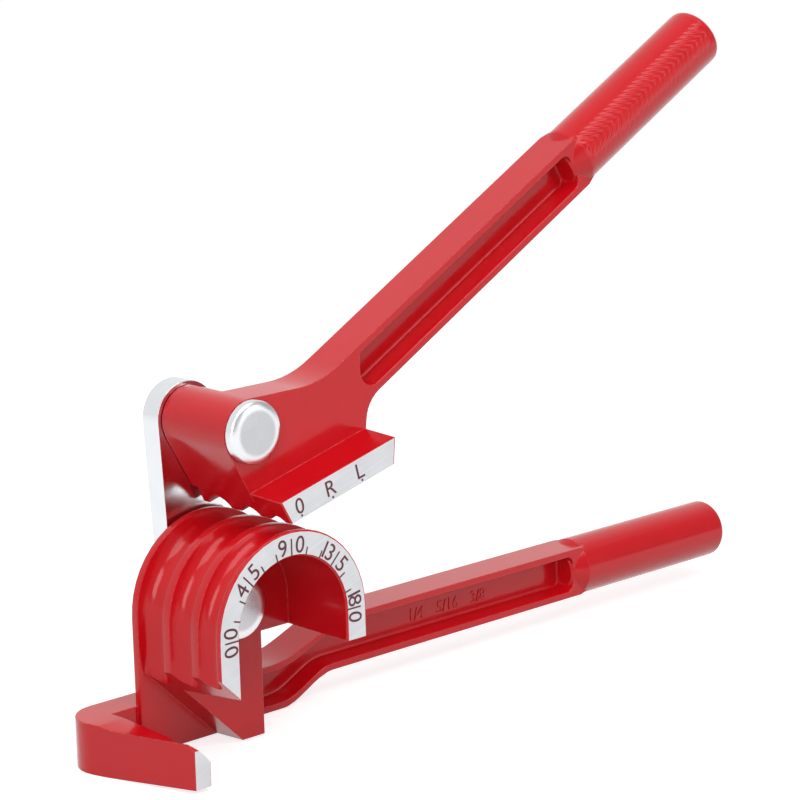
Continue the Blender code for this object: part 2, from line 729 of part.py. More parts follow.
def shoe(collection):
    """Shoe that presses the tube: a flat block with a groove for each tube."""
    top = SHOE_DEPTH - SHOE_HEIGHT
    outline = [at_shoe_depth(left_wall(), SHOE_DEPTH), at_shoe_depth(shoe_end(), SHOE_DEPTH)]
    outline += [at_shoe_depth(shoe_end(), top), at_shoe_depth(left_wall(), top)]
    block = flat_shape("shoe", outline, 0, SHOE_BACK, collection)
    up = Vector((-math.sin(SHOE_TILT), 0, math.cos(SHOE_TILT)))
    for vert in block.data.vertices:
        if vert.co.dot(up) > -(SHOE_DEPTH + top) / 2:
            vert.co += up * (SHOE_TOP_SLOPE * vert.co.y)
    round_edges(block)
    reach = 2 * SHOE_END
    lay = Matrix.Rotation(-SHOE_TILT, 4, "Y")
    for index, (middle, groove) in enumerate(zip(groove_middles(), GROOVES)):
        profile = [(0, -reach), (groove / 2, -reach), (groove / 2, reach), (0, reach)]
        place = lay @ lengthwise(middle, -SHOE_DEPTH - SHOE_GAP, 0)
        groove_bar = turned_solid("shoe_groove_%d" % index, profile, place, collection)
        combine(block, groove_bar, "DIFFERENCE")
    return block


def tilted(obj):
    """Turn a shape drawn level about the pin to the bending handle's tilt."""
    obj.data.transform(Matrix.Rotation(-HANDLE_TILT, 4, "Y"))
    return obj


def upper_pocket_outline():
    """Near pocket of the bending handle, level with its bar."""
    end = UPPER_BAR_END - POCKET_END_WALL
    top = -UPPER_BAR_DROP - FLANGE
    bottom = UPPER_BAR_BOTTOM + FLANGE
    upright = (math.sin(HANDLE_TILT), math.cos(HANDLE_TILT))
    wall = along(-HANDLE_TILT, UPPER_POCKET_START)
    low = crossing(wall, upright, (0, bottom), (1, 0))
    high = crossing(wall, upright, (0, top), (1, 0))
    return rounded_outline([
        (*low, UPPER_POCKET_ROUND),
        (end, bottom, POCKET_ROUND),
        (end, top, POCKET_ROUND),
        (*high, POCKET_ROUND / 2),
    ])


def bending_handle(collection, cutters):
    handle = casting_plate(collection)
    combine(handle, rear_cut(cutters), "DIFFERENCE")
    round_edges(handle)
    bore = round_bar(
        "bending_bore", BORE_RADIUS, CASTING_FRONT - OVERRUN, WHEEL_WIDTH + OVERRUN, (0, 0), cutters
    )
    combine(handle, bore, "DIFFERENCE")
    centre = (CASTING_FRONT + UPPER_BAR_BACK) / 2
    height = UPPER_BAR_BOTTOM + BAR_HEIGHT / 2
    end = UPPER_BAR_END - POCKET_END_WALL
    front = pocket_shape(
        "bending_pocket", upper_pocket_outline(), CASTING_FRONT, POCKET_DEPTH, end, cutters
    )
    combine(handle, tilted(front), "DIFFERENCE")
    back_outline = rounded_outline([
        (UPPER_BACK_POCKET_START, UPPER_BAR_BOTTOM + BACK_FLANGE, POCKET_ROUND),
        (end, UPPER_BAR_BOTTOM + BACK_FLANGE, POCKET_ROUND),
        (end, -UPPER_BAR_DROP - BACK_FLANGE, POCKET_ROUND),
        (UPPER_BACK_POCKET_START, -UPPER_BAR_DROP - BACK_FLANGE, POCKET_ROUND),
    ])
    back = pocket_shape(
        "bending_back_pocket", back_outline, UPPER_BAR_BACK, -BACK_POCKET_DEPTH, end, cutters
    )
    combine(handle, tilted(back), "DIFFERENCE")
    taper = taper_shape("bending_taper", centre, height, UPPER_BAR_END, cutters)
    combine(handle, tilted(taper), "DIFFERENCE")
    grip = grip_shape("bending_grip", centre, height, UPPER_BAR_END, cutters)
    combine(handle, tilted(grip), "UNION")
    combine(handle, shoe(cutters), "UNION")
    return handle


def link_plate(collection, cutters):
    """Flat link with round ends about both pins."""
    away = math.pi / 2 + LINK_LEAN
    outline = arc((0, 0), LINK_HALF_WIDTH, away + math.pi / 2, away + 3 * math.pi / 2, ARC_STEPS)
    outline += arc(PIN_PLACE, LINK_HALF_WIDTH, away - math.pi / 2, away + math.pi / 2, ARC_STEPS)
    link = flat_shape("link_plate", outline, LINK_FRONT, LINK_BACK, collection)
    round_edges(link, LINK_BEVEL)
    for name, centre in (("link_lower_bore", (0, 0)), ("link_upper_bore", PIN_PLACE)):
        bore = round_bar(
            name, BORE_RADIUS, LINK_FRONT - OVERRUN, LINK_BACK + OVERRUN, centre, cutters
        )
        combine(link, bore, "DIFFERENCE")
    return link


def place_on_axis(obj, centre):
    """Stand a turned shape on a pin's axis, with its own axis along +Y."""
    turn = Matrix.Rotation(-math.pi / 2, 4, "X")
    obj.matrix_local = Matrix.Translation((centre[0], 0, centre[1])) @ turn
    return obj


def headed_pin(name, seat, centre, collection):
    """Pin with a domed head in front of its seat and a formed tail behind the washer."""
    head_back = seat - FIT_GAP
    head_front = head_back - HEAD_HEIGHT
    shoulder = head_back - HEAD_RIM
    tail_back = TAIL_FRONT + TAIL_HEIGHT
    profile = [(0, head_front), (HEAD_FLAT, head_front)]
    for step in range(1, CORNER_STEPS):
        turn = math.pi / 2 * step / CORNER_STEPS
        across = HEAD_FLAT + (HEAD_RADIUS - HEAD_FLAT) * math.sin(turn)
        profile.append((across, head_front + (shoulder - head_front) * (1 - math.cos(turn))))
    profile += [(HEAD_RADIUS, shoulder), (HEAD_RADIUS, head_back), (PIN_RADIUS, head_back)]
    profile += [(PIN_RADIUS, TAIL_FRONT), (TAIL_RADIUS, TAIL_FRONT)]
    profile += [(TAIL_RADIUS, TAIL_FRONT + TAIL_RIM)]
    profile += [((TAIL_RADIUS + TAIL_FLAT) / 2, tail_back - TAIL_RIM / 2)]
    profile += [(TAIL_FLAT, tail_back), (0, tail_back)]
    return place_on_axis(turned(name, profile, collection), centre)


def flat_ring(name, outer, front, back, centre, collection):
    """Washer between two depths with rounded outer edges."""
    soft = (back - front) / 4
    profile = [(BORE_RADIUS, front), (outer - soft, front), (outer, front + soft)]
    profile += [(outer, back - soft), (outer - soft, back), (BORE_RADIUS, back)]
    return place_on_axis(turned(name, profile, collection, closed=True), centre)


for old in list(bpy.data.objects):
    bpy.data.objects.remove(old, do_unlink=True)
TOOL = new_collection("tube_bender")
CUTTERS = new_collection("cutters")

RED = (0.42, 0.012, 0.014)
STEEL = (0.62, 0.61, 0.58)
PLATED = (0.72, 0.73, 0.74)
WHEEL_AXIS = (0, 0)

forming = forming_handle(TOOL, CUTTERS)
bending = bending_handle(TOOL, CUTTERS)
bending.location = (PIN_PLACE[0], 0, PIN_PLACE[1])
link = link_plate(TOOL, CUTTERS)
forming_pin = headed_pin("forming_pin", HOLLOW_DEPTH, WHEEL_AXIS, TOOL)
bending_pin = headed_pin("bending_pin", CASTING_FRONT, PIN_PLACE, TOOL)
forming_spacer = flat_ring(
    "forming_spacer", SPACER_RADIUS, FORMING_SPACER_FRONT, SPACER_BACK, WHEEL_AXIS, TOOL
)
forming_washer = flat_ring(
    "forming_washer", WASHER_RADIUS, WASHER_FRONT, WASHER_BACK, WHEEL_AXIS, TOOL
)
bending_washer = flat_ring(
    "bending_washer", WASHER_RADIUS, WASHER_FRONT, WASHER_BACK, PIN_PLACE, TOOL
)

tool_frame = bpy.data.objects.new("tool_frame", None)
TOOL.objects.link(tool_frame)
tool_frame.location = ((HOOK_REACH - TOOL_RIGHT) / 2, -TOOL_BACK / 2, FOOT_DROP)

finishes = [
    (forming, RED, 0.3, 0.0),
    (bending, RED, 0.3, 0.0),
    (link, PLATED, 0.25, 1.0),
    (forming_pin, STEEL, 0.3, 1.0),
    (bending_pin, STEEL, 0.3, 1.0),
    (forming_spacer, STEEL, 0.4, 1.0),
    (forming_washer, STEEL, 0.35, 1.0),
    (bending_washer, STEEL, 0.35, 1.0),
]
for node, colour, roughness, metallic in finishes:
    node.data.materials.append(paint(node.name, colour, roughness, metallic))
    node.parent = tool_frame
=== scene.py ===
"""Looks of the tube bender: paint, bare metal, scale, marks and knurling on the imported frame."""
import math

import bpy
from mathutils import Matrix, Vector


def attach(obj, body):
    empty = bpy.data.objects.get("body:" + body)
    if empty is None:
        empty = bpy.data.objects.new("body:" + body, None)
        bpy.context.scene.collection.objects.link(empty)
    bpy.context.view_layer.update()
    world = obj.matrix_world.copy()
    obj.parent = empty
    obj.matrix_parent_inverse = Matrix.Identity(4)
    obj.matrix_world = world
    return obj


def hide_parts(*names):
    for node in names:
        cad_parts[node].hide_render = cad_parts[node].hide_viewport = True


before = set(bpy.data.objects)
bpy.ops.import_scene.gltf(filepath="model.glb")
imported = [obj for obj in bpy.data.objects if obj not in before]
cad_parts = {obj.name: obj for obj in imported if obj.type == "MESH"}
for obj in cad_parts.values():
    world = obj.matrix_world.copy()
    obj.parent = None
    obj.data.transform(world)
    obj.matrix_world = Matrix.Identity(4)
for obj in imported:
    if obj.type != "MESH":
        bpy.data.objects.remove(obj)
bpy.ops.object.select_all(action="DESELECT")
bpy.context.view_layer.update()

MM = 0.001

# Place of the wheel's axis at the scale face, and of the bending handle's pin at the same depth
WHEEL_PLACE = Vector((-76.7, -23.975, 35.3)) * MM
PIN_PLACE = WHEEL_PLACE + Vector((-2.531, 0, 46.732)) * MM
HANDLE_TILT = math.radians(29.1)
SHOE_TILT = math.radians(14.4)

# Merging and smoothing of the copied solids
MERGE_DISTANCE = 0.001 * MM
FLAT_ANGLE = math.radians(0.3)
SMOOTH_ANGLE = math.radians(30)

# Bare faces: their depths behind the scale face, and how a face is told to be one of them
FRONT_LIMIT = -0.99
DEPTH_TOLERANCE = 0.03 * MM
SCALE_DEPTH = 0.0
HOOK_END_DEPTH = 1.0 * MM
FORMING_POCKET_DEPTH = 39.9 * MM

# Camera, fitted to the photograph in the wheel's frame
CAMERA_AZIMUTH = math.radians(-42.3734)
CAMERA_ELEVATION = math.radians(12.6285)
CAMERA_ROLL = math.radians(-1.5062)
CAMERA_DISTANCE = 703.377 * MM
CAMERA_ASIDE = -25.519 * MM
CAMERA_ABOVE = -54.316 * MM
CAMERA_LENS = 131.105
SENSOR_WIDTH = 36
CLIP_START = 50 * MM

# Floor, room and lamps: the room is dimmer than the white that the camera sees, and dimmer
# still on the camera's side
FLOOR_SIZE = 12
FLOOR_SHADE = 0.5
FLOOR_GLOW = 0.75
ROOM_LIGHT = 0.62
ROOM_SIDE = 0.45
ROOM_SIDE_WAY = (0.25, -0.95, 0.1)
ROOM_SIDE_START = -0.1
ROOM_SIDE_END = 0.7
LAMPS = (
    ("overhead_lamp", (-0.1, -0.45, 0.9), (0, 0, 0.06), 0.9, 0.6, 5.0),
    ("left_lamp", (-0.85, -0.6, 0.4), (-0.05, 0, 0.06), 0.4, 0.6, 3.0),
    ("front_lamp", (0.45, -0.95, 0.3), (0, 0, 0.06), 0.5, 0.5, 1.4),
)

# Surface marks: scales of the noises, and how long a cutter line is drawn out
SPECKLE_SCALE = 900
CLOUD_SCALE = 160
PIN_CLOUD_SCALE = 220
WAVE_SHARE = 2
MILL_STRETCH = 0.02

# Widths of worn edges with their painted highlight, rounding of edges in the shading, and heights
# of the surface marks
PAINT_WEAR_AND_HIGHLIGHT_WIDTH = 0.45 * MM
PLATING_WEAR_AND_HIGHLIGHT_WIDTH = 0.4 * MM
PAINT_ROUNDING = 0.35 * MM
STEEL_ROUNDING = 0.3 * MM
PAINT_MARK_HEIGHT = 0.2 * MM
METAL_MARK_HEIGHT = 0.1 * MM
FINE_MARK_HEIGHT = 0.05 * MM

# Where a pin's flat face ends and its rounded rim starts
RIM_START = 5.1 * MM
RIM_END = 6.0 * MM

# Printed marks: thin solids that stand a little proud of the bare faces
MARK_THICKNESS = 0.06 * MM
MARK_DEPTH = -0.02 * MM
LINE_ROUND_SHARE = 0.06
DOT_ROUND_SHARE = 0.3
DOT_SIDES = 20
LETTER_STEPS = 6
LETTER_MERGE_DISTANCE = 0.002 * MM
CAPITAL_SHARE = 0.729
SCALE_NUMBER_HEIGHT = 4.4 * MM
SCALE_NUMBER_RADIUS = 19.85 * MM
LONG_LINE_LENGTH = 4.3 * MM
LONG_LINE_WIDTH = 0.42 * MM
LONG_LINE_RADIUS = 19.4 * MM
SHORT_LINE_LENGTH = 2.0 * MM
SHORT_LINE_WIDTH = 0.4 * MM
SHORT_LINE_RADIUS = 18.25 * MM
SCALE_END = 180
LONG_LINE_STEP = 45
SHORT_LINE_STEP = 15
SCALE_DIGITS = (
    ("0", -6.6), ("0", 6.4), ("4", 37.2), ("5", 53.0), ("9", 82.0), ("0", 97.8),
    ("1", 122.2), ("3", 128.0), ("5", 142.6), ("1", 169.6), ("8", 174.6), ("0", 186.8),
)
SHOE_LETTER_HEIGHT = 4.2 * MM
SHOE_LETTER_DROP = 18.4 * MM
SHOE_DOT_DROP = 21.0 * MM
SHOE_DOT_RADIUS = 0.32 * MM
SHOE_LETTERS = (("0", 1.0 * MM), ("R", 11.4 * MM), ("L", 21.3 * MM))

# Raised tube sizes in the forming handle's pocket
CAST_HEIGHT = 3.4 * MM
CAST_THICKNESS = 0.5 * MM
CAST_DROP = 22.4 * MM
CAST_WORDS = (("1/4", 77.0 * MM), ("5/16", 88.4 * MM), ("3/8", 100.0 * MM))

# The grip of the bending handle
GRIP_DEPTH = 16.7 * MM
GRIP_DROP = 10.775 * MM
GRIP_RADIUS = 8.15 * MM
GRIP_START = 125.8 * MM
GRIP_END = 185.0 * MM

# The herringbone knurl
KNURL_PITCH = 2.1 * MM
KNURL_HEIGHT = 0.28 * MM
KNURL_SLANT = 1.35
KNURL_MIDDLE = math.radians(24)
KNURL_SPREAD = math.radians(31)
KNURL_FALL = 4
KNURL_FADE = 1.0 * MM
KNURL_LEAD_IN = 2.3 * MM
KNURL_LEAD_OUT = 2.4 * MM
SLEEVE_FRONT_MARGIN = 1.8 * MM
SLEEVE_END_MARGIN = 1.9 * MM
SLEEVE_LIFT = 0.02 * MM
SLEEVE_SINK = 0.05 * MM
SLEEVE_BRIM = 0.9999  # on a grid from -1 to 1, what lies past this is its end row
SLEEVE_WALL = 0.5 * MM
SLEEVE_ROWS = 240
SLEEVE_COLUMNS = 180


def clear_selection():
    if bpy.context.object and bpy.context.object.mode != "OBJECT":
        bpy.ops.object.mode_set(mode="OBJECT")
    bpy.ops.object.select_all(action="DESELECT")


def pick(*pieces):
    """Select only these pieces and make the first one active."""
    clear_selection()
    for piece in pieces:
        piece.select_set(True)
    bpy.context.view_layer.objects.active = pieces[0]


def edit_all(piece):
    pick(piece)
    bpy.ops.object.mode_set(mode="EDIT")
    bpy.ops.mesh.select_all(action="SELECT")


def leave_edit():
    bpy.ops.object.mode_set(mode="OBJECT")


def settle(piece):
    """Put the piece's place into its mesh, so that its object sits at the origin."""
    pick(piece)
    bpy.ops.object.transform_apply(location=True, rotation=True, scale=True)


def apply_modifiers(piece):
    pick(piece)
    for modifier in list(piece.modifiers):
        bpy.ops.object.modifier_apply(modifier=modifier.name)


def finish_piece(piece, body, slot, *materials):
    piece.data.materials.clear()
    for material in materials:
        piece.data.materials.append(material)
    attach(piece, body)


# Shader nodes


def put(tree, kind, **settings):
    node = tree.nodes.new(kind)
    for key, value in settings.items():
        setattr(node, key, value)
    return node


def feed(tree, socket, value):
    """Give a socket a plain value, or a link from another socket."""
    if isinstance(value, bpy.types.NodeSocket):
        tree.links.new(value, socket)
    else:
        socket.default_value = value


def noise(tree, coordinates, scale, detail=2.0):
    """Noise from 0 to 1, with its scale as a value or a socket."""
    node = put(tree, "ShaderNodeTexNoise")
    feed(tree, node.inputs["Vector"], coordinates)
    feed(tree, node.inputs["Scale"], scale)
    node.inputs["Detail"].default_value = detail
    return node.outputs["Fac"]


def ranged(tree, value, low, high, to_low=0.0, to_high=1.0, curve="LINEAR"):
    """Bring a value from one range to another, held at its ends."""
    node = put(tree, "ShaderNodeMapRange", clamp=True, interpolation_type=curve)
    node.inputs["From Min"].default_value = low
    node.inputs["From Max"].default_value = high
    node.inputs["To Min"].default_value = to_low
    node.inputs["To Max"].default_value = to_high
    feed(tree, node.inputs["Value"], value)
    return node.outputs["Result"]


def calculate(tree, operation, first, second):
    """Result of a math node on two values or sockets."""
    node = put(tree, "ShaderNodeMath", operation=operation)
    feed(tree, node.inputs[0], first)
    feed(tree, node.inputs[1], second)
    return node.outputs[0]


# Camera, floor and light


def place_camera():
    """Camera at the photograph's angle and distance, as fitted in the wheel frame."""
    back = Vector((
        math.sin(CAMERA_AZIMUTH) * math.cos(CAMERA_ELEVATION),
        -math.cos(CAMERA_AZIMUTH) * math.cos(CAMERA_ELEVATION),
        math.sin(CAMERA_ELEVATION),
    ))
    level = Vector((math.cos(CAMERA_AZIMUTH), math.sin(CAMERA_AZIMUTH), 0))
    upward = back.cross(level)
    right = math.cos(CAMERA_ROLL) * level + math.sin(CAMERA_ROLL) * upward
    up = -math.sin(CAMERA_ROLL) * level + math.cos(CAMERA_ROLL) * upward
    data = bpy.data.cameras.new("photo_camera")
    data.lens = CAMERA_LENS
    data.sensor_width = SENSOR_WIDTH
    data.clip_start = CLIP_START
    camera = bpy.data.objects.new("photo_camera", data)
    bpy.context.scene.collection.objects.link(camera)
    turn = Matrix((right, up, back)).transposed().to_4x4()
    spot = back * CAMERA_DISTANCE - right * CAMERA_ASIDE - up * CAMERA_ABOVE
    camera.matrix_world = Matrix.Translation(WHEEL_PLACE + spot) @ turn
    bpy.context.scene.camera = camera


def seen_plainly(tree):
    """Mask of the rays that show the background: camera, glossy and transmission rays."""
    path = put(tree, "ShaderNodeLightPath")
    seen = calculate(
        tree, "MAXIMUM", path.outputs["Is Camera Ray"], path.outputs["Is Glossy Ray"]
    )
    return calculate(tree, "MAXIMUM", seen, path.outputs["Is Transmission Ray"])


def lay_floor():
    bpy.ops.mesh.primitive_plane_add(size=FLOOR_SIZE, location=(0, 0, 0))
    floor = bpy.context.object
    floor.name = "studio_floor"
    material = bpy.data.materials.new("pale_floor")
    material.use_nodes = True
    tree = material.node_tree
    shader = tree.nodes["Principled BSDF"]
    shader.inputs["Base Color"].default_value = (FLOOR_SHADE, FLOOR_SHADE, FLOOR_SHADE, 1)
    shader.inputs["Roughness"].default_value = 0.9
    shader.inputs["Specular IOR Level"].default_value = 0
    shader.inputs["Emission Color"].default_value = (1, 1, 1, 1)
    glow = calculate(tree, "MULTIPLY", seen_plainly(tree), FLOOR_GLOW)
    tree.links.new(glow, shader.inputs["Emission Strength"])
    floor.data.materials.append(material)


def light_room():
    world = bpy.data.worlds.new("studio")
    world.use_nodes = True
    bpy.context.scene.world = world
    tree = world.node_tree
    background = tree.nodes["Background"]
    background.inputs["Color"].default_value = (1, 1, 1, 1)
    level = ranged(tree, seen_plainly(tree), 0, 1, ROOM_LIGHT, 1)
    place = put(tree, "ShaderNodeTexCoord")
    toward = put(tree, "ShaderNodeVectorMath", operation="DOT_PRODUCT")
    feed(tree, toward.inputs[0], place.outputs["Generated"])
    feed(tree, toward.inputs[1], ROOM_SIDE_WAY)
    shade = ranged(
        tree, toward.outputs["Value"], ROOM_SIDE_START, ROOM_SIDE_END, 1, ROOM_SIDE, "SMOOTHSTEP"
    )
    strength = calculate(tree, "MULTIPLY", level, shade)
    tree.links.new(strength, background.inputs["Strength"])


def hang_lamp(name, place, aim, width, height, watts):
    data = bpy.data.lights.new(name, "AREA")
    data.shape = "RECTANGLE"
    data.size = width
    data.size_y = height
    data.energy = watts
    lamp = bpy.data.objects.new(name, data)
    bpy.context.scene.collection.objects.link(lamp)
    lamp.location = place
    lamp.rotation_euler = (Vector(aim) - Vector(place)).to_track_quat("-Z", "Y").to_euler()


# Shared effects


def new_effect(name, inputs, outputs):
    """Empty node group with named float inputs and named outputs of the given kinds."""
    group = bpy.data.node_groups.new(name, "ShaderNodeTree")
    for label, value in inputs:
        socket = group.interface.new_socket(label, in_out="INPUT", socket_type="NodeSocketFloat")
        socket.default_value = value
    for label, kind in outputs:
        group.interface.new_socket(label, in_out="OUTPUT", socket_type=kind)
    start = group.nodes.new("NodeGroupInput")
    end = group.nodes.new("NodeGroupOutput")
    return group, start, end


def make_edge_wear_and_highlight():
    """Mask that is 1 along sharp convex edges and broken up by a fine noise: wear, and a painted
    highlight along the edges.
    """
    group, start, end = new_effect(
        "edge_wear_and_highlight", [("Width", PAINT_WEAR_AND_HIGHLIGHT_WIDTH), ("Amount", 1.0)], [("Mask", "NodeSocketFloat")]
    )
    rounded = put(group, "ShaderNodeBevel", samples=6)
    group.links.new(start.outputs["Width"], rounded.inputs["Radius"])
    plain = put(group, "ShaderNodeNewGeometry")
    meet = put(group, "ShaderNodeVectorMath", operation="DOT_PRODUCT")
    group.links.new(rounded.outputs[0], meet.inputs[0])
    group.links.new(plain.outputs["Normal"], meet.inputs[1])
    turned = ranged(group, meet.outputs["Value"], 0.995, 0.86)
    place = put(group, "ShaderNodeTexCoord")
    speckle = ranged(group, noise(group, place.outputs["Object"], SPECKLE_SCALE), 0.35, 0.62)
    worn_and_highlit = calculate(group, "MULTIPLY", turned, speckle)
    result = calculate(group, "MULTIPLY", worn_and_highlit, start.outputs["Amount"])
    group.links.new(result, end.inputs["Mask"])
    return group


def make_cast_skin():
    """Soft unevenness of a painted casting: a height and a tone."""
    group, start, end = new_effect(
        "cast_skin",
        [("Grain", 900.0), ("Waves", 120.0)],
        [("Height", "NodeSocketFloat"), ("Tone", "NodeSocketFloat")],
    )
    place = put(group, "ShaderNodeTexCoord")
    fine = noise(group, place.outputs["Object"], start.outputs["Grain"], detail=1.0)
    broad = noise(group, place.outputs["Object"], start.outputs["Waves"])
    height = calculate(group, "ADD", fine, calculate(group, "MULTIPLY", broad, WAVE_SHARE))
    group.links.new(height, end.inputs["Height"])
    group.links.new(broad, end.inputs["Tone"])
    return group


def make_mill_marks():
    """Fine straight cutter lines, with a few deeper ones: a height and a tone."""
    group, start, end = new_effect(
        "mill_marks",
        [("Lines", 2600.0), ("Turn", 0.3)],
        [("Height", "NodeSocketFloat"), ("Tone", "NodeSocketFloat")],
    )
    place = put(group, "ShaderNodeTexCoord")
    turn = put(group, "ShaderNodeVectorRotate", rotation_type="Y_AXIS")
    group.links.new(place.outputs["Object"], turn.inputs["Vector"])
    group.links.new(start.outputs["Turn"], turn.inputs["Angle"])
    stretch = put(group, "ShaderNodeMapping")
    stretch.inputs["Scale"].default_value = (MILL_STRETCH, 1, 1)
    group.links.new(turn.outputs["Vector"], stretch.inputs["Vector"])
    lines = noise(group, stretch.outputs["Vector"], start.outputs["Lines"], detail=3.0)
    cloud = noise(group, place.outputs["Object"], CLOUD_SCALE)
    tone = calculate(group, "ADD", lines, cloud)
    group.links.new(lines, end.inputs["Height"])
    group.links.new(ranged(group, tone, 0.6, 1.4), end.inputs["Tone"])
    return group


def make_turning_marks():
    """Rings round a pin's middle from the die, and its rim: a height, a tone and a mask."""
    group, start, end = new_effect(
        "turning_marks",
        [("Across", 0.0), ("Up", 0.0), ("Rings", 5200.0)],
        [("Height", "NodeSocketFloat"), ("Tone", "NodeSocketFloat"), ("Rim", "NodeSocketFloat")],
    )
    place = put(group, "ShaderNodeTexCoord")
    parts = put(group, "ShaderNodeSeparateXYZ")
    group.links.new(place.outputs["Object"], parts.inputs[0])
    across = calculate(group, "SUBTRACT", parts.outputs["X"], start.outputs["Across"])
    up = calculate(group, "SUBTRACT", parts.outputs["Z"], start.outputs["Up"])
    squares = calculate(
        group,
        "ADD",
        calculate(group, "MULTIPLY", across, across),
        calculate(group, "MULTIPLY", up, up),
    )
    radius = calculate(group, "SQRT", squares, 0.0)
    rings = put(group, "ShaderNodeTexNoise", noise_dimensions="1D")
    rings.inputs["Detail"].default_value = 2.0
    group.links.new(radius, rings.inputs["W"])
    group.links.new(start.outputs["Rings"], rings.inputs["Scale"])
    cloud = noise(group, place.outputs["Object"], PIN_CLOUD_SCALE)
    group.links.new(rings.outputs["Fac"], end.inputs["Height"])
    group.links.new(cloud, end.inputs["Tone"])
    # Mask of the rounded rim, which the pin's finish paints lighter as a painted highlight.
    group.links.new(ranged(group, radius, RIM_START, RIM_END), end.inputs["Rim"])
    return group


edge_wear_and_highlight = make_edge_wear_and_highlight()
cast_skin = make_cast_skin()
mill_marks = make_mill_marks()
turning_marks = make_turning_marks()

# Finishes


def new_finish(name):
    material = bpy.data.materials.new(name)
    material.use_nodes = True
    tree = material.node_tree
    return material, tree, tree.nodes["Principled BSDF"]


def use_effect(tree, effect, **values):
    node = put(tree, "ShaderNodeGroup", node_tree=effect)
    for label, value in values.items():
        node.inputs[label].default_value = value
    return node


def mixed_colour(tree, share, first, second):
    node = put(tree, "ShaderNodeMix", data_type="RGBA")
    tree.links.new(share, node.inputs["Factor"])
    for label, value in (("A", first), ("B", second)):
        socket = [s for s in node.inputs if s.name == label and s.type == "RGBA"][0]
        if isinstance(value, tuple):
            socket.default_value = (*value, 1)
        else:
            tree.links.new(value, socket)
    return [s for s in node.outputs if s.type == "RGBA"][0]


def bump_from(tree, shader, height, strength, distance, rounding=0.0):
    """Bump on the shader's normal, over edges rounded in the shading where asked."""
    node = put(tree, "ShaderNodeBump")
    node.inputs["Strength"].default_value = strength
    node.inputs["Distance"].default_value = distance
    tree.links.new(height, node.inputs["Height"])
    if rounding:
        edge = put(tree, "ShaderNodeBevel", samples=6)
        edge.inputs["Radius"].default_value = rounding
        tree.links.new(edge.outputs[0], node.inputs["Normal"])
    tree.links.new(node.outputs["Normal"], shader.inputs["Normal"])


def red_paint():
    material, tree, shader = new_finish("glossy_red_paint")
    skin = use_effect(tree, cast_skin, Grain=800.0, Waves=110.0)
    wear_and_highlight = use_effect(tree, edge_wear_and_highlight, Width=PAINT_WEAR_AND_HIGHLIGHT_WIDTH, Amount=0.55)
    base = mixed_colour(tree, skin.outputs["Tone"], (0.57, 0.003, 0.008), (0.64, 0.005, 0.012))
    # The lighter pink on the edges is partly worn paint and partly a painted highlight of the
    # rounded edges.
    colour = mixed_colour(tree, wear_and_highlight.outputs["Mask"], base, (0.80, 0.14, 0.15))
    tree.links.new(colour, shader.inputs["Base Color"])
    rough = ranged(tree, skin.outputs["Tone"], 0.3, 0.7, 0.14, 0.22)
    tree.links.new(rough, shader.inputs["Roughness"])
    shader.inputs["Specular IOR Level"].default_value = 0.3
    shader.inputs["Coat Weight"].default_value = 0.15
    shader.inputs["Coat Roughness"].default_value = 0.04
    bump_from(tree, shader, skin.outputs["Height"], 0.12, PAINT_MARK_HEIGHT, PAINT_ROUNDING)
    return material


def machined_metal():
    material, tree, shader = new_finish("bare_machined_metal")
    marks = use_effect(tree, mill_marks, Lines=2400.0, Turn=0.35)
    colour = mixed_colour(tree, marks.outputs["Tone"], (0.56, 0.57, 0.59), (0.64, 0.65, 0.67))
    tree.links.new(colour, shader.inputs["Base Color"])
    shader.inputs["Metallic"].default_value = 0.85
    rough = ranged(tree, marks.outputs["Tone"], 0.0, 1.0, 0.45, 0.32)
    tree.links.new(rough, shader.inputs["Roughness"])
    bump_from(tree, shader, marks.outputs["Height"], 0.06, METAL_MARK_HEIGHT)
    return material


def plated_steel():
    material, tree, shader = new_finish("bright_plated_steel")
    skin = use_effect(tree, cast_skin, Grain=1500.0, Waves=160.0)
    wear_and_highlight = use_effect(tree, edge_wear_and_highlight, Width=PLATING_WEAR_AND_HIGHLIGHT_WIDTH, Amount=0.6)
    base = mixed_colour(tree, skin.outputs["Tone"], (0.70, 0.72, 0.74), (0.80, 0.82, 0.84))
    # The lighter grey on the edges is a painted highlight of the rounded edges, with some wear.
    colour = mixed_colour(tree, wear_and_highlight.outputs["Mask"], base, (0.92, 0.93, 0.94))
    tree.links.new(colour, shader.inputs["Base Color"])
    shader.inputs["Metallic"].default_value = 1.0
    rough = ranged(tree, skin.outputs["Tone"], 0.3, 0.7, 0.14, 0.24)
    tree.links.new(rough, shader.inputs["Roughness"])
    bump_from(tree, shader, skin.outputs["Height"], 0.08, METAL_MARK_HEIGHT, STEEL_ROUNDING)
    return material


def pin_steel(name, centre):
    material, tree, shader = new_finish(name)
    rings = use_effect(tree, turning_marks, Across=centre.x, Up=centre.z)
    flat = mixed_colour(tree, rings.outputs["Tone"], (0.44, 0.45, 0.47), (0.54, 0.55, 0.57))
    # The rounded rim is painted lighter than the flat face: a painted highlight on the rim.
    colour = mixed_colour(tree, rings.outputs["Rim"], flat, (0.74, 0.75, 0.77))
    tree.links.new(colour, shader.inputs["Base Color"])
    shader.inputs["Metallic"].default_value = 1.0
    rough = ranged(tree, rings.outputs["Tone"], 0.3, 0.7, 0.22, 0.34)
    tree.links.new(rough, shader.inputs["Roughness"])
    bump_from(tree, shader, rings.outputs["Height"], 0.1, FINE_MARK_HEIGHT, STEEL_ROUNDING)
    return material


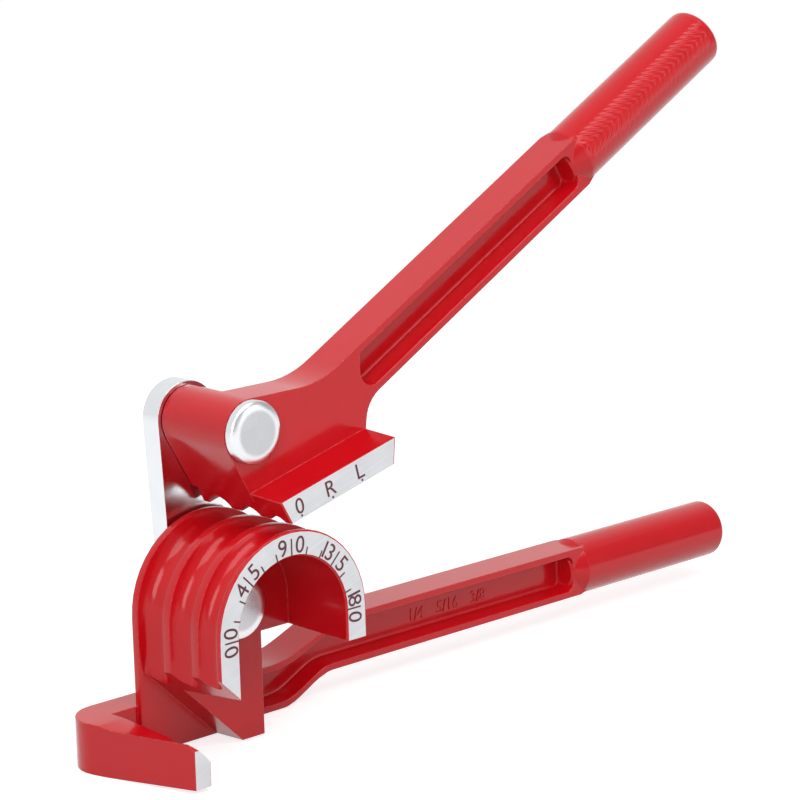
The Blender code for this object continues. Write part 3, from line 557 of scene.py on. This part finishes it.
def plain_steel():
    material, tree, shader = new_finish("plain_steel")
    marks = use_effect(tree, mill_marks, Lines=1800.0, Turn=0.0)
    colour = mixed_colour(tree, marks.outputs["Tone"], (0.42, 0.42, 0.41), (0.56, 0.56, 0.55))
    tree.links.new(colour, shader.inputs["Base Color"])
    shader.inputs["Metallic"].default_value = 1.0
    rough = ranged(tree, marks.outputs["Tone"], 0.0, 1.0, 0.30, 0.42)
    tree.links.new(rough, shader.inputs["Roughness"])
    bump_from(tree, shader, marks.outputs["Height"], 0.1, METAL_MARK_HEIGHT)
    return material


def dark_ink():
    material, tree, shader = new_finish("dark_red_ink")
    skin = use_effect(tree, cast_skin, Grain=2500.0, Waves=700.0)
    colour = mixed_colour(tree, skin.outputs["Tone"], (0.055, 0.006, 0.012), (0.16, 0.02, 0.035))
    tree.links.new(colour, shader.inputs["Base Color"])
    rough = ranged(tree, skin.outputs["Tone"], 0.3, 0.7, 0.45, 0.6)
    tree.links.new(rough, shader.inputs["Roughness"])
    bump_from(tree, shader, skin.outputs["Height"], 0.1, FINE_MARK_HEIGHT)
    return material


RED = red_paint()
BARE = machined_metal()
BRIGHT = plated_steel()
FORMING_PIN_STEEL = pin_steel("forming_pin_steel", WHEEL_PLACE)
BENDING_PIN_STEEL = pin_steel("bending_pin_steel", PIN_PLACE)
STEEL = plain_steel()
INK = dark_ink()

# The castings, link, pins and rings


def smoothed_copy(node, name):
    """Merged and smoothly shaded copy of a solid, which it stands for."""
    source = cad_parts[node]
    piece = bpy.data.objects.new(name, source.data.copy())
    bpy.context.scene.collection.objects.link(piece)
    edit_all(piece)
    bpy.ops.mesh.remove_doubles(threshold=MERGE_DISTANCE)
    bpy.ops.mesh.dissolve_limited(angle_limit=FLAT_ANGLE)
    leave_edit()
    if piece.data.has_custom_normals:
        bpy.ops.mesh.customdata_custom_splitnormals_clear()
    bpy.ops.object.shade_smooth_by_angle(angle=SMOOTH_ANGLE, keep_sharp_edges=False)
    bpy.ops.object.modifier_add(type="WEIGHTED_NORMAL")
    piece.modifiers[-1].keep_sharp = True
    apply_modifiers(piece)
    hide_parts(node)
    return piece


def bare_faces(piece, depth):
    """Give the second material to the flat faces that lie at a depth and face the front."""
    level = WHEEL_PLACE.y + depth
    for face in piece.data.polygons:
        if face.normal.y < FRONT_LIMIT and abs(face.center.y - level) < DEPTH_TOLERANCE:
            face.material_index = 1


def dress_frame():
    """Stand a finished copy in for each solid of the frame."""
    forming = smoothed_copy("forming_handle", "forming_casting")
    finish_piece(forming, "forming", "forming_handle", RED, BARE)
    bare_faces(forming, SCALE_DEPTH)
    bare_faces(forming, HOOK_END_DEPTH)
    bending = smoothed_copy("bending_handle", "bending_casting")
    finish_piece(bending, "bending", "bending_handle", RED, BARE)
    bare_faces(bending, SCALE_DEPTH)
    link = smoothed_copy("link_plate", "steel_link")
    finish_piece(link, "link", "link_plate", BRIGHT)
    pin = smoothed_copy("forming_pin", "wheel_pin")
    finish_piece(pin, "forming", "forming_pin", FORMING_PIN_STEEL)
    pin = smoothed_copy("bending_pin", "shoe_pin")
    finish_piece(pin, "link", "bending_pin", BENDING_PIN_STEEL)
    for node, name, body in (
        ("forming_spacer", "wheel_spacer", "link"),
        ("forming_washer", "wheel_washer", "forming"),
        ("bending_washer", "shoe_washer", "link"),
    ):
        finish_piece(smoothed_copy(node, name), body, node, STEEL)


# Scale, marks and cast letters


def front_turn(angle):
    """Rotation that stands a flat drawing up, facing the front, tilted by an angle."""
    return Matrix.Rotation(-angle, 4, "Y") @ Matrix.Rotation(math.pi / 2, 4, "X")


def letter_pattern(words, height, thickness):
    """Word as a thin solid lying flat, with its middle at the origin."""
    clear_selection()
    bpy.ops.object.text_add()
    piece = bpy.context.object
    piece.data.body = words
    piece.data.size = height / CAPITAL_SHARE
    piece.data.extrude = thickness / 2
    piece.data.resolution_u = LETTER_STEPS
    bpy.ops.object.convert(target="MESH")
    piece = bpy.context.object
    edit_all(piece)
    bpy.ops.mesh.remove_doubles(threshold=LETTER_MERGE_DISTANCE)
    bpy.ops.mesh.normals_make_consistent(inside=False)
    leave_edit()
    corners = [vertex.co for vertex in piece.data.vertices]
    middle = Vector((
        (min(c.x for c in corners) + max(c.x for c in corners)) / 2,
        (min(c.y for c in corners) + max(c.y for c in corners)) / 2,
        0,
    ))
    piece.data.transform(Matrix.Translation(-middle))
    return piece


def joined(name, pieces):
    """Join several pieces into the first, under a new name."""
    pick(*pieces)
    bpy.ops.object.join()
    pieces[0].name = name
    return pieces[0]


def bar_pattern(length, width):
    """Thin flat bar with softened corners, with its middle at the origin."""
    clear_selection()
    bpy.ops.mesh.primitive_cube_add(size=1, scale=(width, length, MARK_THICKNESS))
    piece = bpy.context.object
    settle(piece)
    edit_all(piece)
    bpy.ops.mesh.bevel(
        offset=width * LINE_ROUND_SHARE, segments=2, affect="EDGES", clamp_overlap=True
    )
    leave_edit()
    return piece


def dot_pattern(radius):
    """Thin flat disc with a softened edge, with its middle at the origin."""
    clear_selection()
    bpy.ops.mesh.primitive_cylinder_add(vertices=DOT_SIDES, radius=radius, depth=MARK_THICKNESS)
    piece = bpy.context.object
    edit_all(piece)
    bpy.ops.mesh.bevel(offset=MARK_THICKNESS * DOT_ROUND_SHARE, segments=1, affect="EDGES")
    leave_edit()
    return piece


def stood_up(pattern, place, angle):
    """Copy of a flat pattern, with its own mesh, that faces the front at a place."""
    piece = pattern.copy()
    piece.data = pattern.data.copy()
    bpy.context.scene.collection.objects.link(piece)
    piece.data.transform(Matrix.Translation(place) @ front_turn(angle))
    return piece


def put_away(patterns):
    """Remove the patterns once their copies stand in place."""
    for pattern in patterns:
        bpy.data.objects.remove(pattern)


def round_the_wheel(degrees, radius, depth):
    """Place on the wheel's front at a scale angle, and the tilt of what stands there."""
    turn = math.pi - math.radians(degrees)
    place = WHEEL_PLACE + Vector((radius * math.cos(turn), depth, radius * math.sin(turn)))
    return place, turn - math.pi / 2


def wheel_scale():
    """Angle scale on the wheel: long lines with split numbers, and short lines between."""
    long_line = bar_pattern(LONG_LINE_LENGTH, LONG_LINE_WIDTH)
    short_line = bar_pattern(SHORT_LINE_LENGTH, SHORT_LINE_WIDTH)
    digits = {
        digit: letter_pattern(digit, SCALE_NUMBER_HEIGHT, MARK_THICKNESS)
        for digit in sorted({digit for digit, degrees in SCALE_DIGITS})
    }
    rows = [
        (long_line, degrees, LONG_LINE_RADIUS)
        for degrees in range(0, SCALE_END + 1, LONG_LINE_STEP)
    ]
    rows += [
        (short_line, degrees, SHORT_LINE_RADIUS)
        for degrees in range(0, SCALE_END, SHORT_LINE_STEP) if degrees % LONG_LINE_STEP
    ]
    rows += [(digits[digit], degrees, SCALE_NUMBER_RADIUS) for digit, degrees in SCALE_DIGITS]
    pieces = [
        stood_up(pattern, *round_the_wheel(degrees, radius, MARK_DEPTH))
        for pattern, degrees, radius in rows
    ]
    put_away([long_line, short_line, *digits.values()])
    finish_piece(joined("wheel_scale", pieces), "forming", "forming_handle", INK)


def along_shoe(distance, normal, depth):
    """Place measured from the pin, along the shoe's straight edge and square to it."""
    across = distance * math.cos(SHOE_TILT) - normal * math.sin(SHOE_TILT)
    up = distance * math.sin(SHOE_TILT) + normal * math.cos(SHOE_TILT)
    return PIN_PLACE + Vector((across, depth, up))


def shoe_marks():
    """The three marks on the shoe's front face, each with its dot."""
    dot = dot_pattern(SHOE_DOT_RADIUS)
    pieces = []
    for words, distance in SHOE_LETTERS:
        letter = letter_pattern(words, SHOE_LETTER_HEIGHT, MARK_THICKNESS)
        place = along_shoe(distance, -SHOE_LETTER_DROP, MARK_DEPTH)
        pieces.append(stood_up(letter, place, SHOE_TILT))
        place = along_shoe(distance, -SHOE_DOT_DROP, MARK_DEPTH)
        pieces.append(stood_up(dot, place, 0))
        put_away([letter])
    put_away([dot])
    finish_piece(joined("shoe_marks", pieces), "bending", "bending_handle", INK)


def cast_sizes():
    """Raised tube sizes on the floor of the forming handle's pocket, half sunk in it."""
    pieces = []
    for words, across in CAST_WORDS:
        word = letter_pattern(words, CAST_HEIGHT, CAST_THICKNESS)
        place = WHEEL_PLACE + Vector((across, FORMING_POCKET_DEPTH, -CAST_DROP))
        pieces.append(stood_up(word, place, 0))
        put_away([word])
    sizes = joined("cast_sizes", pieces)
    finish_piece(sizes, "forming", "forming_handle", RED)


# The knurled grip


def off_middle(turn):
    """Turn between a place round the grip and the middle of the nearer knurled band."""
    return min(
        abs((turn - middle + math.pi) % (2 * math.pi) - math.pi)
        for middle in (KNURL_MIDDLE, KNURL_MIDDLE + math.pi)
    )


def knurl_share(turn, distance):
    """How strongly the knurl stands out at a turn about the grip and a distance along it."""
    share = max(0.0, 1 - (off_middle(turn) / KNURL_SPREAD) ** KNURL_FALL)
    ends = min(distance - GRIP_START - KNURL_LEAD_IN, GRIP_END - KNURL_LEAD_OUT - distance)
    return share * min(1.0, max(0.0, ends / KNURL_FADE))


def knurl_wave(turn, distance):
    """Height of the herringbone ridges, from 0 to 1."""
    phase = (distance + KNURL_SLANT * off_middle(turn) * GRIP_RADIUS) / KNURL_PITCH
    return 0.5 + 0.5 * math.cos(2 * math.pi * phase)


def knurled_grip():
    """Thin sleeve over the bending handle's grip with the herringbone knurl on both sides."""
    first = GRIP_START + SLEEVE_FRONT_MARGIN
    last = GRIP_END - SLEEVE_END_MARGIN
    clear_selection()
    bpy.ops.mesh.primitive_grid_add(
        x_subdivisions=SLEEVE_ROWS, y_subdivisions=SLEEVE_COLUMNS, size=2
    )
    piece = bpy.context.object
    piece.name = "knurled_grip"
    middle = PIN_PLACE + Vector((0, GRIP_DEPTH, 0))
    direction = Vector((math.cos(HANDLE_TILT), 0, math.sin(HANDLE_TILT)))
    normal = Vector((-math.sin(HANDLE_TILT), 0, math.cos(HANDLE_TILT)))
    front = Vector((0, -1, 0))
    for vertex in piece.data.vertices:
        distance = first + (last - first) * (vertex.co.x + 1) / 2
        turn = math.pi * (vertex.co.y + 1)
        share = knurl_share(turn, distance)
        radius = GRIP_RADIUS + SLEEVE_LIFT + KNURL_HEIGHT * share * knurl_wave(turn, distance)
        if abs(vertex.co.x) > SLEEVE_BRIM:
            radius = GRIP_RADIUS - SLEEVE_SINK
        spoke = normal * math.sin(turn) + front * math.cos(turn)
        vertex.co = middle + direction * distance - normal * GRIP_DROP + spoke * radius
    edit_all(piece)
    bpy.ops.mesh.remove_doubles(threshold=MERGE_DISTANCE)
    bpy.ops.mesh.normals_make_consistent(inside=False)
    leave_edit()
    bpy.ops.object.shade_smooth()
    bpy.ops.object.modifier_add(type="SOLIDIFY")
    piece.modifiers[-1].thickness = SLEEVE_WALL
    piece.modifiers[-1].offset = -1
    apply_modifiers(piece)
    finish_piece(piece, "bending", "bending_handle", RED)


bpy.context.scene.view_settings.view_transform = "Standard"
place_camera()
lay_floor()
light_room()
for lamp in LAMPS:
    hang_lamp(*lamp)
dress_frame()
wheel_scale()
shoe_marks()
cast_sizes()
knurled_grip()
clear_selection()
